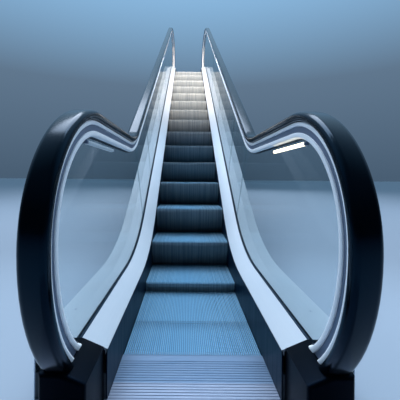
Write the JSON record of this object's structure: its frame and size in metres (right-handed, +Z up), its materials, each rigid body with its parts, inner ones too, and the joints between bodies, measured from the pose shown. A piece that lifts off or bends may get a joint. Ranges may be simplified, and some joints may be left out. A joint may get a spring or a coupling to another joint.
{
  "type": "escalator",
  "caption": "Narrow glass-sided escalator with cleated steps, ribbed landings, black handrails and rounded newels, one flight between two floors.",
  "frame": {"origin": "on the underside of the lower landing's frame, on the centreline, straight below the lower comb line", "axes": "+X across the steps to the right of someone going up, +Y level along the flight from the lower to the upper landing, +Z up"},
  "size_m": [1.13, 9.1003, 4.4168],
  "materials": {
    "step_casting": "die-cast, satin, fine lengthwise cleats",
    "comb_plate": "satin, cross-ribbed",
    "floor_plate": "satin, cross-ribbed",
    "skirt_panel": "low-friction dark coat, semi-gloss",
    "deck_steel": "brushed lengthwise",
    "gasket_black": "matt",
    "clear_glass": "clear, toughened, polished edges",
    "guide_aluminium": "satin anodised",
    "handrail_rubber": "polished black",
    "cap_plastic": "fine grain",
    "lamp_lit": "opal cover, lit",
    "lamp_unlit": "opal cover, unlit",
    "cladding_steel": "brushed sheet",
    "housing_paint": "flat grey coat",
    "bracket_paint": "flat grey coat"
  },
  "bodies": {
    "root": {"step_01": "step_casting", "step_02": "step_casting", "step_03": "step_casting", "step_04": "step_casting", "step_05": "step_casting", "step_06": "step_casting", "step_07": "step_casting", "step_08": "step_casting", "step_09": "step_casting", "step_10": "step_casting", "step_11": "step_casting", "step_12": "step_casting", "step_13": "step_casting", "step_14": "step_casting", "step_15": "step_casting", "step_16": "step_casting", "step_17": "step_casting", "step_18": "step_casting", "comb_lower": "comb_plate", "comb_upper": "comb_plate", "floor_plate_lower": "floor_plate", "floor_plate_upper": "floor_plate", "skirt_left": "skirt_panel", "skirt_right": "skirt_panel", "inner_deck_left": "deck_steel", "inner_deck_right": "deck_steel", "glass_channel_left": "gasket_black", "glass_channel_right": "gasket_black", "outer_deck_left": "deck_steel", "outer_deck_right": "deck_steel", "glass_left": "clear_glass", "glass_right": "clear_glass", "handrail_guide_left": "guide_aluminium", "handrail_guide_right": "guide_aluminium", "handrail_left": "handrail_rubber", "handrail_right": "handrail_rubber", "newel_cap_lower_left": "cap_plastic", "newel_cap_lower_right": "cap_plastic", "newel_cap_upper_left": "cap_plastic", "newel_cap_upper_right": "cap_plastic", "lamp_left": "lamp_unlit", "lamp_right": "lamp_lit", "side_cladding_left": "cladding_steel", "side_cladding_right": "cladding_steel", "housing": "housing_paint", "side_beam_left": "housing_paint", "side_beam_right": "housing_paint", "upper_bracket": "bracket_paint"}
  },
  "joints": []
}
